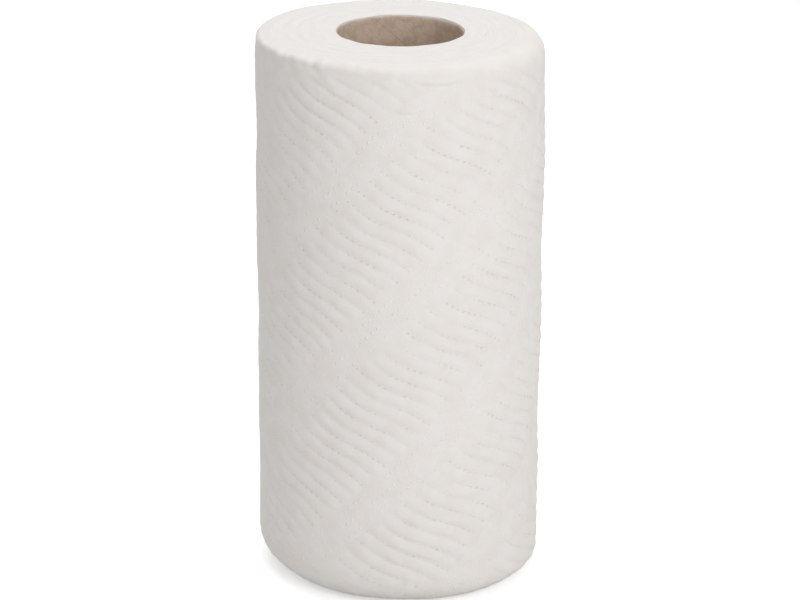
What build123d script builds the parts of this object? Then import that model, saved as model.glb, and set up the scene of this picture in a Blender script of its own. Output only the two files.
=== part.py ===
from build123d import *
import os
from math import cos, degrees, pi, radians, sin

os.makedirs("parts", exist_ok=True)

# Paper towel roll standing on its end. Units are millimetres, +Z runs up the roll's axis,
# the floor is z = 0 and the photographed side faces -Y.

# Whole roll
sheet_width = 220.0
roll_diameter = 113.0
top_rim = 7.5
foot_rim = 6.5
rim_steps = 3
bore_chamfer = 0.7

# Cardboard core, glued inside the first turn
core_bore = 49.0
core_wall = 0.8
core_recess = 1.5
glue_gap = 0.05
seam_pitch = 140.0
seam_depth = 0.3
seam_width = 0.9

# Loose end of the outermost sheet, on the side away from the photograph
tail_angle = 30.0
tail_step = 0.45
sheet_length = 230.0
perforation_depth = 0.35

# Turn lines that show on both ends
turn_pitch = 9.0
turn_count = 2
turn_outer = 47.0
turn_depth = 0.35
turn_width = 0.9

# Embossing: slanting bands of S-shaped valleys
band_pitch = 66.0
bands_per_turn = 5
valleys_per_turn = 50
valley_depth = 0.65
valley_rise = 0.3
valley_slope = 0.95
valley_middle = (8.5, 3.0)
valley_end = (18.6, 13.2)
band_centre = 27.5
edge_margin = 15.5

roll_radius = roll_diameter / 2
core_radius = core_bore / 2 + core_wall
paper_bore = core_radius + glue_gap
roll_girth = pi * roll_diameter
over = 1.0

# The paper's radius shrinks by one sheet in a turn, so each half turn has its own centre.
tail_line = Vector(cos(radians(tail_angle)), sin(radians(tail_angle)), 0)
tail_plane = Plane(origin=(0, 0, 0), x_dir=tail_line, z_dir=tail_line.cross(Vector(0, 0, 1)))
half_shift = tail_step / 2

# One embossed valley, made of three straight chords that follow the wall
wall_points = []
for arc, rise, depth in (
    (-valley_end[0], valley_end[1], -valley_rise),
    (-valley_middle[0], valley_middle[1], valley_depth),
    (valley_middle[0], -valley_middle[1], valley_depth),
    (valley_end[0], -valley_end[1], -valley_rise),
):
    turn = arc / roll_radius
    reach = roll_radius - depth
    wall_points.append(Vector(reach * sin(turn), -reach * cos(turn), rise))

valley_run = (wall_points[-1] - wall_points[0]).normalized()
valley_top = 2 * valley_depth + 2 * valley_rise
with BuildPart() as valley:
    for near, far in zip(wall_points, wall_points[1:]):
        chord = far - near
        section_plane = Plane(origin=near, x_dir=(0, -1, 0), z_dir=valley_run)
        with BuildSketch(section_plane) as valley_section:
            with BuildLine():
                Polyline(
                    (0, 0),
                    (valley_top, valley_top / valley_slope),
                    (valley_top, -valley_top / valley_slope),
                    close=True,
                )
            make_face()
        extrude(amount=chord.length, dir=chord.normalized())

# Where the valleys sit: each slanting band climbs a whole number of bands in one turn
valley_places = []
for band in range(-bands_per_turn, bands_per_turn):
    for number in range(valleys_per_turn):
        share = number / valleys_per_turn
        height = band_centre + band_pitch * (band + bands_per_turn * share)
        if edge_margin < height < sheet_width - edge_margin:
            valley_places.append(Location((0, 0, height), (0, 0, 1), 360 * share))

# Both soft rims in section, as distance in from the wall and height
low_rim = []
high_rim = []
for step in range(rim_steps + 1):
    swing = radians(90 * step / rim_steps)
    low_rim.append((foot_rim * (1 - sin(swing)), foot_rim * (1 - cos(swing))))
    high_rim.append((top_rim * (1 - cos(swing)), sheet_width - top_rim * (1 - sin(swing))))
wall_section = low_rim + high_rim

with BuildPart() as towel_web:
    # Outermost turn: the first half turn from the tail, then the half that tucks under it
    for shift, spin in ((0, -1), (half_shift, 1)):
        axis_point = tail_line * -shift
        edge = roll_radius - 2 * shift
        wall_line = [(edge - inset, height) for inset, height in wall_section]
        with BuildSketch(tail_plane) as turn_section:
            with BuildLine():
                Polyline((-shift, 0), *wall_line, (-shift, sheet_width), close=True)
            make_face()
        revolve(axis=Axis(axis_point, (0, 0, spin)), revolution_arc=180)

    # Bore for the core, with its paper edge eased
    mouth = paper_bore + bore_chamfer + over
    with BuildSketch(Plane.XZ) as bore_section:
        with BuildLine():
            Polyline(
                (0, -over),
                (mouth, -over),
                (paper_bore, bore_chamfer),
                (paper_bore, sheet_width - bore_chamfer),
                (mouth, sheet_width + over),
                (0, sheet_width + over),
                close=True,
            )
        make_face()
    revolve(axis=Axis.Z, mode=Mode.SUBTRACT)

    # Turn lines on the two ends, a spiral of half turns about two centres
    for face_height, inward in ((sheet_width, -1), (0, 1)):
        start = turn_outer
        for half in range(2 * turn_count):
            centre = turn_pitch / 4 * (1 if half % 2 == 0 else -1)
            slope = turn_width / 2 / turn_depth
            with BuildSketch(tail_plane) as turn_line:
                with BuildLine():
                    Polyline(
                        (start, face_height + inward * turn_depth),
                        (start - slope * (turn_depth + over), face_height - inward * over),
                        (start + slope * (turn_depth + over), face_height - inward * over),
                        close=True,
                    )
                make_face()
            spin_axis = Axis(tail_line * centre, (0, 0, -1))
            revolve(axis=spin_axis, revolution_arc=180, mode=Mode.SUBTRACT)
            start = 2 * centre - start

    # Perforation one sheet back from the tail, scored up the wall
    perforation_angle = tail_angle - degrees(sheet_length / roll_radius)
    with BuildSketch() as perforation:
        with PolarLocations(roll_radius, 1, start_angle=perforation_angle):
            Rectangle(2 * perforation_depth, 2 * perforation_depth, rotation=45)
    extrude(amount=sheet_width, mode=Mode.SUBTRACT)

    # Embossed valleys all round the wall
    with Locations(*valley_places):
        add(valley.part, mode=Mode.SUBTRACT)
towel_web.part.label = "towel_web"

core_length = sheet_width - 2 * core_recess
with BuildPart() as core_tube:
    with BuildSketch(Plane.XY.offset(core_recess)) as core_section:
        Circle(core_radius)
        Circle(core_bore / 2, mode=Mode.SUBTRACT)
    extrude(amount=core_length)
    # Butt seam of the innermost cardboard ply, winding up the bore
    with BuildLine(Plane.XY.offset(-over)) as seam_path:
        Helix(pitch=seam_pitch, height=sheet_width + 2 * over, radius=core_bore / 2)
    with BuildSketch(Plane(origin=seam_path.line @ 0, z_dir=seam_path.line % 0)) as seam_section:
        Rectangle(2 * seam_depth, seam_width)
    sweep(path=seam_path.line, is_frenet=True, mode=Mode.SUBTRACT)
core_tube.part.label = "core_tube"

export_step(towel_web.part, "parts/towel_web.step")
export_step(core_tube.part, "parts/core_tube.step")
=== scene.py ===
# %% [markdown]
# # A roll of embossed kitchen paper
# The real object has two pieces: a long web of two-ply paper, and the board tube that it is
# wound on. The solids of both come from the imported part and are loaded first, so that every
# surface built here lands on them in the same metres.

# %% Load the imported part
import math

import bpy
import numpy as np
from mathutils import Matrix, Vector


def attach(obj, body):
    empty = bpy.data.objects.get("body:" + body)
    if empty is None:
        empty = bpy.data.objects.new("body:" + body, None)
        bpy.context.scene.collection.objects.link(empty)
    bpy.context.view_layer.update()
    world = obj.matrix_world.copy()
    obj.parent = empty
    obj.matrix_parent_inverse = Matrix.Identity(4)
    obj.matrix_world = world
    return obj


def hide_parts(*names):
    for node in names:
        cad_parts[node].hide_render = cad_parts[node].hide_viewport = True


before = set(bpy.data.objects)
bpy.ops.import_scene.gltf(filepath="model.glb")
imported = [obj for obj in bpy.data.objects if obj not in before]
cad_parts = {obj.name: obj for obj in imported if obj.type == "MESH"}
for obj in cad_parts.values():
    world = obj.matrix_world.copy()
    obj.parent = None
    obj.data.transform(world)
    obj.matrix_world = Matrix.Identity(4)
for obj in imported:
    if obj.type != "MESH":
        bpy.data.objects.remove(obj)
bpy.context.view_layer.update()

# %% [markdown]
# ## The sizes that every surface shares
# These repeat the driving sizes of the solids, in millimetres. Angles run anticlockwise seen
# from above. The side that faces the camera is at -90 degrees, and the loose end of the paper
# is on the far side, at 30 degrees.

# %% Sizes
MM = 0.001
ROLL_RADIUS = 56.5
SHEET_WIDTH = 220.0
SHEET = 0.45
TAIL_ANGLE = 30.0
FRONT = -90.0
print("the wall is", round(2 * math.pi * ROLL_RADIUS, 1), "mm round and", SHEET_WIDTH, "mm high")

# %% [markdown]
# ## Small tools for shapes
# Soft paper has no sharp change of shape and no true repeat. A soft step and a smooth noise are
# enough to sculpt it. The noise is a sum of a few seeded waves, so it is the same on every run,
# and round the roll it uses whole numbers of waves, so that it closes on itself.

# %% Soft step and closed noise
def soft_step(low, high, value):
    """0 below low, 1 above high, and a smooth rise between."""
    t = np.clip((value - low) / (high - low), 0.0, 1.0)
    return t * t * (3.0 - 2.0 * t)


def ripple(turn, height, seed, waves=18, rounds=9, rise=40.0):
    """Smooth noise of about +-1 over the turn in radians and the height in mm."""
    dice = np.random.default_rng(seed)
    total = np.zeros(np.broadcast(turn, height).shape)
    for _ in range(waves):
        count = dice.integers(1, rounds + 1)
        climb = dice.normal(0.0, 2 * math.pi / rise)
        total += np.cos(count * turn + climb * height + dice.uniform(0, 2 * math.pi))
    return total / math.sqrt(waves / 2) / 1.6


both_ends = ripple(np.array([0.0, 2 * math.pi]), 0.0, seed=3)
print("after one turn the noise comes back from", both_ends.round(3)[0], "to", both_ends.round(3)[1])

# %% [markdown]
# ## Skins made of rings
# Each surface here is turned or nearly so. A stack of rings of points, joined into four-sided
# faces, follows it closely, and numpy can move all the points at once. A screw modifier would
# need less code, but it can't change the shape from one angle to the next.

# %% A skin from a grid of points
def skin(name, points, closed=False):
    """points has rows, columns and x, y, z in mm; the columns run anticlockwise as rows climb."""
    rows, columns = points.shape[:2]
    number = np.arange(rows * columns).reshape(rows, columns)
    beside = np.roll(number, -1, axis=1)
    quads = np.stack([number[:-1], beside[:-1], beside[1:], number[1:]], axis=-1)
    if not closed:
        quads = quads[:, :-1]
    mesh = bpy.data.meshes.new(name)
    mesh.from_pydata((points.reshape(-1, 3) * MM).tolist(), [], quads.reshape(-1, 4).tolist())
    mesh.shade_smooth()
    mesh.set_sharp_from_angle(angle=math.radians(55))
    piece = bpy.data.objects.new(name, mesh)
    bpy.context.scene.collection.objects.link(piece)
    print(name, "has", 2 * len(mesh.polygons), "triangles")
    return piece


def keep_on_points(piece, marks):
    """Keep named numbers on the points of a piece, for its material to read."""
    for name, values in marks.items():
        layer = piece.data.attributes.new(name, "FLOAT", "POINT")
        layer.data.foreach_set("value", np.asarray(values, dtype=np.float32).ravel())


# %% [markdown]
# ## The embossing
# Kitchen paper is pressed between rollers so that its two plies hold together and soak up
# more. On this roll the pattern is slanting bands of long S-shaped pillows, with a narrow
# strip of small dots between two bands. It could be carved stroke by stroke, but a formula
# covers the whole wall alike. It needs two slanting coordinates: lean grows across the bands,
# and phase counts the pillows along a band and bends with the S.

# %% Where a point lies in the pattern
BAND_PITCH = 72.0
BAND_START = 34.0
BAND_TILT = 0.02
BAND_SHIFT = 1.70
PILLOW_LENGTH = 53.0
PILLOW_PITCH = 8.63
PILLOW_START = 0.44
PILLOW_BEND = 14.5
PILLOW_SWAY = 1.4


def pattern(arc, drop):
    """lean and phase of a point, from its distance round the wall and below the top."""
    lean = (1 - BAND_TILT) * arc + (1 + BAND_TILT) * drop - BAND_START
    band = np.floor(lean / BAND_PITCH)
    inside = np.clip(lean - BAND_PITCH * band, 0, PILLOW_LENGTH)
    bend = PILLOW_BEND * inside / PILLOW_LENGTH
    bend -= PILLOW_SWAY * np.sin(2 * math.pi * inside / PILLOW_LENGTH)
    return lean, (arc - drop - bend) / PILLOW_PITCH - BAND_SHIFT * band + PILLOW_START


print("bands are", round(BAND_PITCH / math.sqrt(2), 1), "mm apart, measured square across them")

# %% [markdown]
# ## One pillow
# A pillow is a soft ridge with a narrow valley on each side, because the rollers press only the
# valleys. Its corners are pulled in, so that each end looks like the nose of a loaf, and its
# height fades there in two steps, a short one and a long one. One modelled pillow, copied along
# the bands, would be easier to picture, but every copy would have to be sewn into the wall.

# %% Height of the pillows
PILLOW_NOSE = 4.0


def pillows(lean, phase):
    """Height of the pillows, 0 in the valleys and 1 on the crowns."""
    place = np.mod(lean, BAND_PITCH)
    across = np.abs(2 * np.mod(phase, 1.0) - 1)
    crown = 1 - across**3
    end = np.minimum(place, PILLOW_LENGTH - place) - PILLOW_NOSE * across**2
    return crown * (0.5 * soft_step(-1.0, 5.0, end) + 0.5 * soft_step(0.0, 20.0, end))


middle_of_band = pillows(np.array([PILLOW_LENGTH / 2] * 3), np.array([0.0, 0.25, 0.5]))
print("valley, flank and crown", middle_of_band.round(2))

# %% [markdown]
# ## Creases
# A handled roll is never perfect. Near the top of the front a few short folds cross the paper
# where a pillow was pressed flat. Each is a curved line with a lip above it and a groove along
# it, added to the embossing as a small push, which is easier to place than a carved stroke.

# %% Folds
FOLDS = ((4.0, 27.0, 5.6, 2.0, 0.85), (-3.0, 9.0, 17.0, 1.2, 0.5), (30.0, 44.0, 11.0, 1.2, 0.3))


def folds(arc, drop):
    """Short curved creases: start and end round the wall, depth below the top, sag, size."""
    push = 0.0 * (arc + drop)
    for start, end, level, sag, size in FOLDS:
        share = np.clip((arc - start) / (end - start), 0, 1)
        off = drop - (level + 4 * sag * share * (1 - share))
        lip, groove = 0.8 * np.exp(-((off + 1.3) ** 2) / 1.6), np.exp(-(off**2) / 0.7)
        push = push + size * np.sin(math.pi * share) * (lip - groove)
    return push


print(len(FOLDS), "folds, the longest", max(fold[1] - fold[0] for fold in FOLDS), "mm")

# %% [markdown]
# ## Uneven wall and kept embossing
# The wall is a little wavy because some turns are wound tighter, and both rims are rough where
# the saw cut them, most of all at the left of the front. The pillows were pressed nearly flat
# at the far left and stayed crisp at the right. Slow and fine noise give the first two, and two
# wide bells round the wall give the last, as no noise puts a fault where it was seen.

# %% Wavy wall, rough rims and firm pillows
def uneven(turn, drop):
    """Slow waves of the wall and the rough edge of the outer sheets."""
    slow = 0.15 * ripple(turn, drop, seed=3, rounds=7, rise=70.0)
    fine = 0.06 * ripple(turn, drop, seed=5, waves=30, rounds=60, rise=9.0)
    left = np.exp(-(((np.degrees(turn) - FRONT + 42) / 34) ** 2))
    rough = ripple(turn, drop, seed=8, waves=36, rounds=64, rise=9.0)
    near_rim = np.exp(-((drop / 6.0) ** 2)) + 0.5 * np.exp(-(((SHEET_WIDTH - drop) / 4.0) ** 2))
    return slow + fine + near_rim * rough * (0.05 + 0.27 * left)


def firmness(degrees, drop):
    """How much of the embossing is left, 1 on average."""
    firm = np.clip(1 + 0.28 * ripple(np.radians(degrees), drop, seed=17, rise=50.0), 0.25, 1.6)
    flattened = 0.65 * np.exp(-(((degrees + 160) / 28) ** 2))
    crisp = 0.4 * np.exp(-(((degrees + 60) / 25) ** 2))
    return firm * (1 - flattened + crisp)


print("embossing left at half height", firmness(np.array([-160.0, -90.0, -60.0]), 110.0).round(2))

# %% [markdown]
# ## The section of the wall
# Seen from the side the wall is straight with soft corners, where the saw that cut the roll
# and many hands have rounded the edges of the outer turns. A row of the skin is one point of
# that outline, with the direction that faces outward there. A bevel would round both corners
# alike, but on this roll the foot is worn at one side and the top at another.

# %% Rows of the wall, from foot to top
TOP_RIM = 5.5
FOOT_RIM = 6.5


def corner(radius, centre_height, start, end, rows):
    """Points of a rounded corner: inset from the wall, height, and the outward direction."""
    swing = np.radians(np.linspace(start, end, rows))
    inset, height = radius * (1 - np.cos(swing)), centre_height + radius * np.sin(swing)
    return np.stack([inset, height, np.cos(swing), np.sin(swing)], 1)


below_rough = np.linspace(FOOT_RIM, 195, 187)
near_top = np.linspace(195.5, SHEET_WIDTH - TOP_RIM, 37)
straight = np.concatenate([below_rough, near_top])
wall_rows = np.concatenate([
    corner(FOOT_RIM, FOOT_RIM, -90, 0, 9)[:-1],
    np.stack([0 * straight, straight, 0 * straight + 1, 0 * straight], 1),
    corner(TOP_RIM, SHEET_WIDTH - TOP_RIM, 0, 90, 13)[1:],
])
print(len(wall_rows), "rows from foot to top")

# %% Worn corners
WORN_FOOT = -145.0
WORN_TOP = 20.0


def worn_section(degrees):
    """The rows at each angle, with corners that are rounder where the roll was knocked."""
    inset, height, out, up = (wall_rows[:, k][:, None] for k in range(4))
    foot = FOOT_RIM * (0.6 + 0.7 * np.cos(np.radians(degrees - WORN_FOOT)))
    top = TOP_RIM * 0.6 * np.cos(np.radians(degrees - WORN_TOP))
    low = np.clip(height / FOOT_RIM, 0, 1) * (1 - soft_step(FOOT_RIM, 50.0, height))
    high = np.clip((SHEET_WIDTH - height) / TOP_RIM, 0, 1)
    high = high * soft_step(170.0, SHEET_WIDTH - TOP_RIM, height)
    inset = inset * (1 + np.where(height < 100, foot / FOOT_RIM, top / TOP_RIM))
    return inset, height + foot * low - top * high, out, up


most_worn = worn_section(np.array([[WORN_FOOT, WORN_TOP]]))[0].round(1)
print("corner radius in mm, foot", most_worn[0, 0], "and top", most_worn[-1, 1])

# %% [markdown]
# ## The wound wall
# The web is one spiral, so its radius falls by one sheet for each turn back from the loose
# end. The skin starts under the loose end, where the seam can't be seen, and goes once round.
# Every point is then pushed out or in by the embossing, the folds and the unevenness. Where
# the loose end covers it, the wall is pushed in a little more, so that it doesn't come through
# that end. A displacement texture could do the same, but here the mesh itself has the shape.

# %% Points of the outer surface
PILLOW_HEIGHT = 0.62
WALL_SUNK = 0.32
RIM_RISE = 0.35


def sheet_radius(degrees):
    """Radius of the web, which shrinks by one sheet in each turn back from the loose end."""
    return ROLL_RADIUS - SHEET * (TAIL_ANGLE - degrees) / 360.0


def relief(degrees, height):
    """How far the paper stands out from the plain wall, and its place in the pattern."""
    arc = np.radians(degrees - FRONT) * ROLL_RADIUS
    drop = SHEET_WIDTH - height
    lean, phase = pattern(arc, drop)
    calm = soft_step(1.0, 9.0, drop) * soft_step(1.0, 7.0, SHEET_WIDTH - drop)
    push = PILLOW_HEIGHT * firmness(degrees, drop) * pillows(lean, phase) * calm - WALL_SUNK
    push += folds(arc, drop) + uneven(np.radians(degrees), drop)
    return push, {"lean": lean, "phase": phase, "arc": arc + 0 * lean, "drop": drop + 0 * lean}


def lay(degrees, radius, push):
    """Put a grid of points on the section's rows, pushed along its outward direction."""
    inset, height, out, up = worn_section(degrees)
    reach = radius - inset + out * push
    turn = np.radians(degrees)
    level = np.clip(height + up * np.minimum(push, RIM_RISE), 0.0, SHEET_WIDTH + RIM_RISE)
    return np.stack([reach * np.cos(turn), reach * np.sin(turn), level], -1)


print("just behind the loose end the sheet below is", SHEET, "mm lower")

# %% Wall piece
SEAM_ANGLE = 8.0
COLUMNS = 400
UNDER_END = 0.32
wall_degrees = SEAM_ANGLE - 360.0 + np.linspace(0, 360.0, COLUMNS)[None, :]
wall_push, wall_marks = relief(wall_degrees, worn_section(wall_degrees)[1])
tucked = soft_step(-0.5, 3.0, wall_degrees)
covered = tucked + 1 - soft_step(-2.0, 0.3, wall_degrees - (TAIL_ANGLE - 360.0))
wall_push = wall_push - UNDER_END * covered
wall_radius = sheet_radius(wall_degrees) - SHEET * tucked
wall_points = lay(wall_degrees, wall_radius, wall_push)
towel_wall = skin("towel_wall", wall_points)
keep_on_points(towel_wall, wall_marks)

# %% [markdown]
# ## The loose end
# The last sheet simply stops, torn along a perforation, and its edge lifts a little from the
# turn below. A thin shell shows that gap, which a step in the wall could not. It carries the
# same embossing, starts just inside the wall, and its edge has the small teeth of the tear.

# %% Line of the tear and lift of the edge
END_COLUMNS = 44
END_START = -1.2
TEETH_PITCH = 2.4
end_share = np.linspace(0, 1, END_COLUMNS)[None, :]
end_height = wall_rows[:, 1][:, None]
teeth = 0.35 * np.abs(np.mod(end_height / TEETH_PITCH, 1.0) - 0.5)
teeth = teeth + 0.25 * ripple(0.0, end_height, seed=11, rise=30.0)
tear_degrees = TAIL_ANGLE + np.degrees(teeth / ROLL_RADIUS)
end_degrees = tear_degrees * end_share + END_START * (1 - end_share)
lift_wave = 0.5 + 0.5 * ripple(0.0, end_height, seed=14, waves=8, rise=120.0)
lift = (0.15 + 0.65 * lift_wave) * soft_step(0.72, 1.0, end_share) ** 1.5
lift = lift * soft_step(4.0, 22.0, SHEET_WIDTH - end_height) * soft_step(3.0, 16.0, end_height)
print("the edge lifts by", lift.max().round(2), "mm at most")

# %% Loose end piece
PLY = 0.3


def wrap(outer, inner):
    """Join the columns of an outer side and an inner side into one closed round."""
    return np.concatenate([outer, inner[:, ::-1], outer[:, :1]], axis=1)


end_push, end_marks = relief(end_degrees, worn_section(end_degrees)[1])
sunk = 0.12 * (1 - soft_step(0.03, 0.12, end_share))
row = np.arange(len(wall_rows))[:, None]
pinch = soft_step(0, 3, np.minimum(row, row[::-1]))
end_push = end_push + lift - sunk - PLY * (1 - pinch)
outer_side = lay(end_degrees, sheet_radius(end_degrees), end_push)
inner_side = lay(end_degrees, sheet_radius(end_degrees), end_push - PLY * pinch)
loose_end = skin("loose_end", wrap(outer_side, inner_side))
keep_on_points(loose_end, {name: wrap(values, values) for name, values in end_marks.items()})

# %% [markdown]
# ## The two ends of the roll
# On the ends the cut edges of all the turns lie side by side and look like fine rings. The
# skin runs from the rim to the core, where the soft paper hangs a little over the board's
# edge, and then down the paper's bore. Whole turns stand a hair higher or lower, which a
# random height for each ring gives, while modelling each turn would take millions of faces.

# %% Shape of the core hole
def out_of_round(turn):
    """A roll is squeezed a little in its pack, so the hole isn't a true circle."""
    return 0.16 * np.cos(2 * turn + 0.6) + 0.09 * np.cos(3 * turn + 2.0) + 0.05 * np.cos(7 * turn)


hole_wave = out_of_round(np.linspace(0, 2 * math.pi, 90))
print("the hole is up to", hole_wave.max().round(2), "mm out of round")

# %% End pieces
PAPER_BORE = 25.35
LIP = 0.4
OVERHANG = 0.65
END_RINGS = 30


def end_skin(name, rim_points, face_height, outward):
    """One end of the roll, from its rim in to the bore. outward is 1 on top and -1 below."""
    rim_x, rim_y, rim_level = (rim_points[:, k] for k in range(3))
    turn = np.arctan2(rim_y, rim_x)[None, :]
    rim_radius = np.hypot(rim_x, rim_y)[None, :]
    share = np.linspace(0, 1, END_RINGS)[:, None] ** 0.9
    bore = PAPER_BORE + out_of_round(turn)
    edge = bore - OVERHANG
    reach = rim_radius + (edge + LIP - rim_radius) * share
    rings = np.random.default_rng(21).normal(0, 0.05, (END_RINGS, 1)) * soft_step(0.0, 0.1, share)
    waves = 0.11 * ripple(turn, 60 * share, seed=22, waves=24, rounds=16, rise=12.0)
    highest = 0.3 if outward > 0 else 0.0
    uneven_face = np.minimum(rings + waves * soft_step(0, 0.15, share), highest)
    from_rim = soft_step(0.0, 0.12, share)
    height = rim_level * (1 - from_rim) + (face_height + outward * uneven_face) * from_rim
    lip = np.radians(np.linspace(15, 90, 6))[:, None]
    lip_reach = edge + LIP * (1 - np.sin(lip))
    lip_height = height[-1:] - outward * LIP * (1 - np.cos(lip))
    down = np.array([2.0, 5.0, 10.0, 20.0])[:, None]
    reach = np.concatenate([reach, lip_reach, bore + 0 * down])
    height = np.concatenate([height, lip_height, lip_height[-1:] - outward * down])
    grid = np.stack([reach * np.cos(turn), reach * np.sin(turn), height], -1)
    return skin(name, grid[::outward])


end_top = end_skin("end_top", wall_points[-1], SHEET_WIDTH, 1)
end_foot = end_skin("end_foot", wall_points[0], 0.0, -1)

# %% [markdown]
# ## The board core
# The core is three strips of grey board, wound in a long screw and glued. Its inner strip
# leaves a shallow seam that climbs the bore. The cut ends are slightly crushed, so the rim
# waves up and down and the wall leans in at a few places. A tube with a solidify modifier would
# be plain all over, so this skin is laid ring by ring, like the wall.

# %% Section of the core
CORE_OUTER = 25.3
CORE_INNER = 24.5
CORE_FOOT = 1.5
CORE_TOP = 219.4
OUTSIDE_ROWS = 20
INSIDE_ROWS = 150
round_edge = np.radians(np.linspace(0, 180, 7)[1:-1])
middle, half = (CORE_OUTER + CORE_INNER) / 2, (CORE_OUTER - CORE_INNER) / 2
section_reach = np.concatenate([
    np.full(OUTSIDE_ROWS, CORE_OUTER), middle + half * np.cos(round_edge),
    np.full(INSIDE_ROWS, CORE_INNER), middle - half * np.cos(round_edge), [CORE_OUTER],
])
section_height = np.concatenate([
    np.linspace(CORE_FOOT, CORE_TOP, OUTSIDE_ROWS), CORE_TOP + 0.2 * np.sin(round_edge),
    np.linspace(CORE_FOOT, CORE_TOP, INSIDE_ROWS)[::-1], CORE_FOOT - 0.2 * np.sin(round_edge),
    [CORE_FOOT],
])
print("the board is", round(CORE_OUTER - CORE_INNER, 2), "mm thick")

# %% Core piece
SEAM_PITCH = 140.0
SEAM_START = 30.0


def core_skin():
    """The tube as one closed skin: up the outside, over the rim, down the bore and back."""
    turn = np.radians(np.linspace(0, 360, 301))[None, :-1]
    reach, height = section_reach[:, None] + 0 * turn, section_height[:, None] + 0 * turn
    winding = np.mod(turn / (2 * math.pi) - (height + SEAM_START) / SEAM_PITCH, 1.0)
    from_seam = np.minimum(winding, 1 - winding) * SEAM_PITCH
    seam = -0.28 * np.exp(-((from_seam / 0.9) ** 2)) + 0.06 * soft_step(0, 6, from_seam)
    pulp = 0.03 * ripple(turn, height, seed=32, waves=40, rounds=70, rise=5.0)
    carved = np.where(reach < CORE_INNER + 0.05, seam + pulp, 0)
    near_rim = np.exp(-(((height - CORE_TOP) / 3.0) ** 2))
    crush = near_rim * 0.12 * ripple(turn, height, seed=31, rounds=11)
    reach = reach + out_of_round(turn) - carved - np.abs(crush)
    rim_wave = 0.15 + 0.18 * ripple(turn, 0 * height, seed=33, waves=20, rounds=24)
    height = height - soft_step(CORE_TOP - 4, CORE_TOP, height) * rim_wave
    return np.stack([reach * np.cos(turn), reach * np.sin(turn), height], -1)


core_board = skin("core_board", core_skin(), closed=True)

# %% [markdown]
# ## Small tools for materials
# A finish here is built from a few math and noise nodes. The helpers keep the cells short: one
# adds a node and joins its inputs, and the others are the few kinds of node used again and
# again. An image would be quicker, but nodes stay sharp at any distance and need no file.

# %% Node helpers
def node(tree, kind, inputs=(), **settings):
    """Add a node, set its options and join or set its inputs by name or number."""
    made = tree.nodes.new(kind)
    for key, value in settings.items():
        setattr(made, key, value)
    for key, value in dict(inputs).items():
        if isinstance(value, bpy.types.NodeSocket):
            tree.links.new(value, made.inputs[key])
        else:
            made.inputs[key].default_value = value
    return made


def calc(tree, operation, *values):
    """One math node. Each value is a number or the output of another node."""
    return node(tree, "ShaderNodeMath", dict(enumerate(values)), operation=operation).outputs[0]


def ease(tree, value, low, high):
    """A smooth rise from 0 at low to 1 at high."""
    settings = {"Value": value, "From Min": low, "From Max": high}
    return node(tree, "ShaderNodeMapRange", settings, interpolation_type="SMOOTHSTEP").outputs[0]


def fall(tree, value, low, high):
    """A smooth fall from 1 at low to 0 at high."""
    return calc(tree, "SUBTRACT", 1.0, ease(tree, value, low, high))


def length(tree, first, second):
    """Length of the slope with two sides square to each other."""
    squares = [calc(tree, "POWER", side, 2.0) for side in (first, second)]
    return calc(tree, "SQRT", calc(tree, "ADD", *squares))


def to_nearest(tree, value, pitch):
    """Distance from the nearest whole multiple of the pitch."""
    return calc(tree, "PINGPONG", calc(tree, "ADD", value, 1000 * pitch), pitch / 2)


def noise(tree, place, scale, detail=2.0):
    """Noise at a place, as a number of about 0.5."""
    inputs = {"Vector": place, "Scale": scale, "Detail": detail}
    return node(tree, "ShaderNodeTexNoise", inputs).outputs["Fac"]


# %% Colour, bump and shader helpers
def blend_colours(tree, amount, first, second):
    """Mix two colours, each a link or four numbers, by an amount from 0 to 1."""
    made = node(tree, "ShaderNodeMix", {0: amount}, data_type="RGBA")
    for socket, value in ((made.inputs[6], first), (made.inputs[7], second)):
        if isinstance(value, bpy.types.NodeSocket):
            tree.links.new(value, socket)
        else:
            socket.default_value = value
    return made.outputs[2]


def tint(tree, base, amount, share, colour):
    """Bring a base colour part of the way to another where an amount is 1."""
    return blend_colours(tree, calc(tree, "MULTIPLY", amount, share), base, colour)


def roughen(tree, shader, layers, strength):
    """Join heights in mm, each with its share, and let the shader feel them as a bump."""
    height = 0.0
    for layer, share in layers:
        height = calc(tree, "MULTIPLY_ADD", layer, share, height)
    bump = node(tree, "ShaderNodeBump", {"Height": height, "Distance": MM, "Strength": strength})
    tree.links.new(bump.outputs[0], shader.inputs["Normal"])


def finish_material(name, roughness, sheen):
    """A material with its main shader's constant values set on its own sockets."""
    material = bpy.data.materials.new(name)
    material.use_nodes = True
    shader = material.node_tree.nodes["Principled BSDF"]
    shader.inputs["Roughness"].default_value = roughness
    shader.inputs["Sheen Weight"].default_value = sheen
    shader.inputs["Specular IOR Level"].default_value = 0.2
    print("finish", name, "with roughness", roughness)
    return material, material.node_tree, shader


# %% [markdown]
# ## Dots of the embossed paper
# The mesh is fine enough for the pillows but not for the dots that the rollers leave, a
# millimetre across, so those are bump. The dots read the lean and phase that the mesh keeps, so
# they stay pressed along the valleys, and raised in the strips between the bands, where they
# catch the light. A slanting coordinate grows by 1.4 for each millimetre, so its distances are
# multiplied by about 0.7 to make the dots round. Noise wears some dots away.

# %% Rows of dots
VALLEY_DOTS = 3.6
STRIP_DOTS = 4.1
STRIP_ROWS = 6.4
SQUARE = 0.71
ALONG_VALLEY = 0.72
ACROSS_VALLEY = 0.69 * PILLOW_PITCH


def dots(tree, along, along_scale, across, across_scale, size):
    """Round dots where both distances to the nearest dot's centre are small."""
    along_mm = calc(tree, "MULTIPLY", along, along_scale)
    across_mm = calc(tree, "MULTIPLY", across, across_scale)
    return fall(tree, length(tree, across_mm, along_mm), size * 0.35, size)


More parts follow.
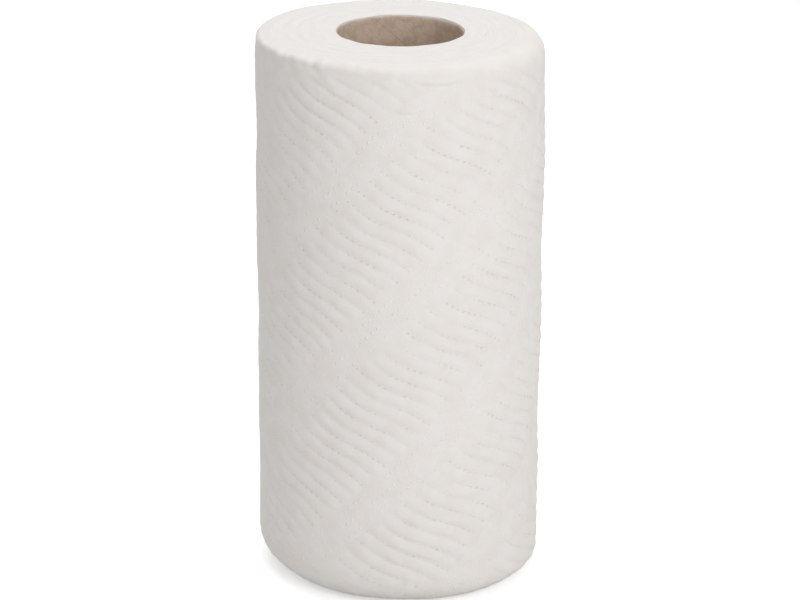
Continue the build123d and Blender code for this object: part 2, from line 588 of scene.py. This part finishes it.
embossed, tree, shader = finish_material("embossed_paper", 0.92, 0.12)
lean, phase, arc, drop = (
    node(tree, "ShaderNodeAttribute", attribute_name=name).outputs["Fac"]
    for name in ("lean", "phase", "arc", "drop")
)
flat = node(tree, "ShaderNodeCombineXYZ", {0: arc, 1: drop}).outputs[0]
place = calc(tree, "FLOORED_MODULO", lean, BAND_PITCH)
in_strip = ease(tree, place, PILLOW_LENGTH - 0.5, PILLOW_LENGTH + 0.5)
kept = ease(tree, noise(tree, flat, 0.13, 3.0), 0.36, 0.62)
kept = calc(tree, "MULTIPLY", kept, ease(tree, drop, 8.0, 16.0))

along, across = to_nearest(tree, lean, VALLEY_DOTS), to_nearest(tree, phase, 1.0)
valley_dots = dots(tree, along, ALONG_VALLEY, across, ACROSS_VALLEY, 0.55)
valley_dots = calc(tree, "MULTIPLY", valley_dots, calc(tree, "SUBTRACT", 1.0, in_strip))
valley_dots = calc(tree, "MULTIPLY", valley_dots, kept)

from_middle = calc(tree, "SUBTRACT", place, (PILLOW_LENGTH + BAND_PITCH) / 2)
along = to_nearest(tree, calc(tree, "SUBTRACT", arc, drop), STRIP_DOTS)
across = to_nearest(tree, from_middle, STRIP_ROWS)
strip_dots = dots(tree, along, SQUARE, across, SQUARE, 0.62)
strip_dots = calc(tree, "MULTIPLY", strip_dots, in_strip)
strip_dots = calc(tree, "MULTIPLY", strip_dots, kept)
print("dots stand", round(ALONG_VALLEY * VALLEY_DOTS, 1), "mm apart in the valleys")

# %% [markdown]
# ## Fibres, creping and the perforation
# Tissue is scraped off a hot drum, which leaves tiny wrinkles along the roll and a cloudy, not
# quite even white. The perforation, one sheet back from the loose end, is a line of short cuts
# with ties between them. All are finer than the mesh, so noise stretched along the roll and a
# broken line give them as bump, with painted shade in the cuts and a painted highlight on the
# dots, strongest on the raised ones.

# %% Finish of the embossed wall
PAPER_WHITE = (0.80, 0.775, 0.75, 1)
PAPER_WARM = (0.785, 0.745, 0.71, 1)
PAINTED_DOT_HIGHLIGHT = (0.90, 0.89, 0.88, 1)
PAINTED_CUT_SHADE = (0.60, 0.56, 0.52, 1)
PERFORATION_ANGLE = 157.0
TIE_PITCH = 5.2
stretched = node(tree, "ShaderNodeMapping", {"Vector": flat, "Scale": (2.2, 0.28, 1.0)}).outputs[0]
creping = noise(tree, stretched, 1.0, 3.0)
fibres = noise(tree, flat, 0.9, 5.0)
cloudy = noise(tree, flat, 0.11, 3.0)
perforation_arc = math.radians(PERFORATION_ANGLE - 360.0 - FRONT) * ROLL_RADIUS
off_line = calc(tree, "ABSOLUTE", calc(tree, "SUBTRACT", arc, perforation_arc))
tie = ease(tree, to_nearest(tree, drop, TIE_PITCH), 0.35, 0.6)
cuts = calc(tree, "MULTIPLY", fall(tree, off_line, 0.12, 0.4), tie)
tissue = (creping, 0.06), (fibres, 0.08)
pressed = (valley_dots, -0.26), (strip_dots, 0.24), (cuts, -0.6)
roughen(tree, shader, tissue + pressed, 0.85)
tone = blend_colours(tree, ease(tree, cloudy, 0.35, 0.65), PAPER_WHITE, PAPER_WARM)
# Painted highlight: the dots are tinted lighter, the raised strip dots most.
tone = tint(tree, tone, valley_dots, 0.15, PAINTED_DOT_HIGHLIGHT)
tone = tint(tree, tone, strip_dots, 0.8, PAINTED_DOT_HIGHLIGHT)
# Painted shade: the perforation's cuts are tinted darker.
tone = tint(tree, tone, cuts, 0.55, PAINTED_CUT_SHADE)
tree.links.new(tone, shader.inputs["Base Color"])
for piece in (towel_wall, loose_end):
    piece.data.materials.append(embossed)
print("the perforation lies", round(-perforation_arc), "mm round the wall from the front")

# %% [markdown]
# ## Cut edges of the turns
# On the ends the finish follows a spiral: the radius, counted in sheets, less the part of a
# turn. Noise along that single number gives rings of uneven width and depth, as where some
# turns were wound tighter. A ready-made ring texture would close on itself, and a wound web
# doesn't.

# %% Finish of the ends
PAINTED_RING_SHADE = (0.78, 0.755, 0.73, 1)


def place_on_part(tree):
    """Where a point is in metres, as one link and as x, y and z."""
    where = node(tree, "ShaderNodeTexCoord").outputs["Object"]
    return where, *node(tree, "ShaderNodeSeparateXYZ", {0: where}).outputs


def part_of_turn(tree, x, y):
    """The angle round the axis, counted in turns."""
    return calc(tree, "DIVIDE", calc(tree, "ARCTAN2", y, x), 2 * math.pi)


def ring_noise(tree, turns, scale, detail):
    """Noise along the wound web, the same all along one turn."""
    inputs = {"W": turns, "Scale": scale, "Detail": detail}
    return node(tree, "ShaderNodeTexNoise", inputs, noise_dimensions="1D").outputs["Fac"]


cut_edges, tree, shader = finish_material("cut_edges", 0.95, 0.15)
where, x, y, z = place_on_part(tree)
sheets_out = calc(tree, "DIVIDE", length(tree, x, y), SHEET * MM)
turns = calc(tree, "SUBTRACT", sheets_out, part_of_turn(tree, x, y))
turns = calc(tree, "MULTIPLY_ADD", noise(tree, where, 60.0, 2.0), 1.6, turns)
fine = ring_noise(tree, turns, 0.9, 2.0)
wide = ring_noise(tree, turns, 0.16, 1.0)
lint = noise(tree, where, 900.0, 4.0)
roughen(tree, shader, ((fine, 0.35), (wide, 0.5), (lint, 0.25)), 0.3)
# Painted shade: the rings that lie lower are given the darker colour.
ring_tone = blend_colours(tree, ease(tree, fine, 0.3, 0.6), PAINTED_RING_SHADE, PAPER_WHITE)
tree.links.new(ring_tone, shader.inputs["Base Color"])
for piece in (end_top, end_foot):
    piece.data.materials.append(cut_edges)
print("about", round((ROLL_RADIUS - PAPER_BORE) / SHEET), "turns show on an end")

# %% [markdown]
# ## Grey board
# Recycled board is grey-brown with lighter and darker fibres, and its plies show as faint
# slanting lines that climb with the screw of the tube. The cut rim is paler, because the saw
# opens fresh fibres there. Each of these is one tint over the last, which is easy to follow and
# to change, and the seam's line uses the same pitch as the seam in the mesh.

# %% Marks on the board
board, tree, shader = finish_material("grey_board", 0.85, 0.0)
where, x, y, z = place_on_part(tree)
climbed = calc(tree, "DIVIDE", calc(tree, "ADD", z, SEAM_START * MM), SEAM_PITCH * MM)
winding = calc(tree, "SUBTRACT", part_of_turn(tree, x, y), climbed)
seam_line = fall(tree, to_nearest(tree, winding, 1.0), 0.002, 0.007)
half_way = calc(tree, "ADD", winding, 0.46)
second_ply = fall(tree, to_nearest(tree, half_way, 1.0), 0.001, 0.006)
along_fibre, up_fibre = calc(tree, "MULTIPLY", winding, 900.0), calc(tree, "MULTIPLY", z, 700.0)
fibre_place = node(tree, "ShaderNodeCombineXYZ", {0: along_fibre, 1: up_fibre}).outputs[0]
fibres = noise(tree, fibre_place, 0.35, 4.0)
specks = noise(tree, where, 1500.0, 3.0)
clouds = noise(tree, where, 300.0, 4.0)
top_rim = ease(tree, z, (CORE_TOP - 0.6) * MM, (CORE_TOP - 0.2) * MM)
foot_rim = fall(tree, z, (CORE_FOOT - 0.1) * MM, (CORE_FOOT + 0.3) * MM)
rim = calc(tree, "ADD", top_rim, foot_rim)
print("the seam climbs", SEAM_PITCH, "mm a turn")

# %% Finish of the core
BOARD_BROWN = (0.57, 0.455, 0.365, 1)
BOARD_PALE = (0.65, 0.53, 0.43, 1)
CLOUD_BROWN = (0.47, 0.375, 0.30, 1)
SPECK_DARK = (0.18, 0.14, 0.11, 1)
SEAM_DARK = (0.16, 0.12, 0.09, 1)
PLY_DARK = (0.20, 0.155, 0.12, 1)
FRESH_CUT = (0.70, 0.60, 0.50, 1)
base = blend_colours(tree, ease(tree, fibres, 0.3, 0.7), BOARD_BROWN, BOARD_PALE)
base = tint(tree, base, ease(tree, clouds, 0.42, 0.62), 0.6, CLOUD_BROWN)
base = tint(tree, base, ease(tree, specks, 0.62, 0.74), 0.5, SPECK_DARK)
base = tint(tree, base, seam_line, 0.55, SEAM_DARK)
base = tint(tree, base, second_ply, 0.2, PLY_DARK)
base = tint(tree, base, rim, 0.4, FRESH_CUT)
tree.links.new(base, shader.inputs["Base Color"])
roughen(tree, shader, ((specks, 0.12), (fibres, 0.15)), 0.6)
core_board.data.materials.append(board)

# %% [markdown]
# ## Tie the pieces to the part
# The roll is one rigid body, because the first turn is glued to the core. Each new skin rides
# on it and stands for one of the solids, which is hidden.
# Parenting would move the pieces too, but the solids would then still show through them.

# %% Ride and replace
paper_pieces = (towel_wall, loose_end, end_top, end_foot)
for piece in paper_pieces:
    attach(piece, "root")
    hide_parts("towel_web")
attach(core_board, "root")
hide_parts("core_tube")
print(len(paper_pieces) + 1, "pieces tied to the body")

# %% [markdown]
# ## Floor
# The roll stands on a plain white sweep. To the camera the floor gives off a little light of
# its own, so that it reads as white where nothing shades it, and its shading is kept. More lamp
# light would whiten it too, but it would burn out the paper. The glow isn't seen by the roll.

# %% Floor piece
FLOOR_REACH = 4.0
FLOOR_GLOW = 0.45
floor_mesh = bpy.data.meshes.new("floor")
floor_corners = [
    (FLOOR_REACH * x, FLOOR_REACH * y, 0) for x, y in ((-1, -1), (1, -1), (1, 1), (-1, 1))
]
floor_mesh.from_pydata(floor_corners, [], [(0, 1, 2, 3)])
floor = bpy.data.objects.new("floor", floor_mesh)
bpy.context.scene.collection.objects.link(floor)
floor_paint = bpy.data.materials.new("floor_paint")
floor_paint.use_nodes = True
tree = floor_paint.node_tree
shader = tree.nodes["Principled BSDF"]
shader.inputs["Base Color"].default_value = (0.82, 0.82, 0.82, 1)
shader.inputs["Roughness"].default_value = 0.9
shader.inputs["Specular IOR Level"].default_value = 0.0
to_camera = node(tree, "ShaderNodeLightPath").outputs["Is Camera Ray"]
glow_strength = calc(tree, "MULTIPLY", to_camera, FLOOR_GLOW)
glow = node(tree, "ShaderNodeEmission", {"Strength": glow_strength})
both = node(tree, "ShaderNodeAddShader", {0: shader.outputs[0], 1: glow.outputs[0]})
tree.links.new(both.outputs[0], tree.nodes["Material Output"].inputs["Surface"])
floor_mesh.materials.append(floor_paint)
print("the floor is", 2 * FLOOR_REACH, "m wide")

# %% [markdown]
# ## Light
# A soft box stands in front, to the right and above, as in a product studio, and a second one
# hangs over the roll for its top face. The white room around fills the shadows, so the left
# side of the roll is only a little greyer. Large lamps are chosen because the embossing should
# read by soft shading, without hard shadows.

# %% Soft boxes and room
def soft_box(name, place, aim, size, power):
    """A square area lamp at a place, turned towards a point."""
    lamp = bpy.data.lights.new(name, "AREA")
    lamp.size = size
    lamp.energy = power
    made = bpy.data.objects.new(name, lamp)
    made.location = place
    direction = Vector(aim) - Vector(place)
    made.rotation_euler = direction.to_track_quat("-Z", "Y").to_euler()
    bpy.context.scene.collection.objects.link(made)
    print(name, "stands", round(direction.length, 2), "m away with", power, "W")


soft_box("key_light", place=(0.76, -1.42, 0.9), aim=(0, 0, 0.12), size=1.1, power=12.9)
soft_box("top_light", place=(-0.15, 0.55, 1.65), aim=(0, 0, 0.2), size=1.2, power=11.5)

ROOM_LIGHT = 0.525
room = bpy.data.worlds.new("white_room")
room.use_nodes = True
bpy.context.scene.world = room
tree = room.node_tree
sky = tree.nodes["Background"]
sky.inputs["Color"].default_value = (1, 1, 1, 1)
path = node(tree, "ShaderNodeLightPath")
seen = calc(tree, "MAXIMUM", path.outputs["Is Camera Ray"], path.outputs["Is Glossy Ray"])
strength = calc(tree, "MULTIPLY_ADD", seen, 1 - ROOM_LIGHT, ROOM_LIGHT)
tree.links.new(strength, sky.inputs["Strength"])

# %% [markdown]
# ## Camera
# The photograph looks down on the roll from a little over a metre away, with the roll filling
# the frame from top to bottom. The view's distance, height and tilt come from fitting the
# outline, and a third of a degree of roll matches the slight lean of the photographed walls.
# A camera matched by eye would be close, but its ellipses would be too open or too flat.

# %% Camera
ROLL = 2 * ROLL_RADIUS * MM
ROLLS_AWAY = 10.0
ROLLS_ABOVE_TOP = 2.575
ASIDE = 0.0004
LOOK_DOWN = 0.3414
LEAN = 0.3
FOCAL_LENGTH = 135.6
lens = bpy.data.cameras.new("camera")
lens.sensor_width = 36.0
lens.lens = FOCAL_LENGTH
camera = bpy.data.objects.new("camera", lens)
camera.location = (ASIDE, -ROLLS_AWAY * ROLL, SHEET_WIDTH * MM + ROLLS_ABOVE_TOP * ROLL)
pitch = Matrix.Rotation(math.pi / 2 - LOOK_DOWN, 3, "X")
camera.rotation_euler = (pitch @ Matrix.Rotation(math.radians(LEAN), 3, "Z")).to_euler()
bpy.context.scene.collection.objects.link(camera)
bpy.context.scene.camera = camera
bpy.context.scene.view_settings.view_transform = "Standard"
print("the camera is", round(camera.location.length, 2), "m from the foot of the roll")
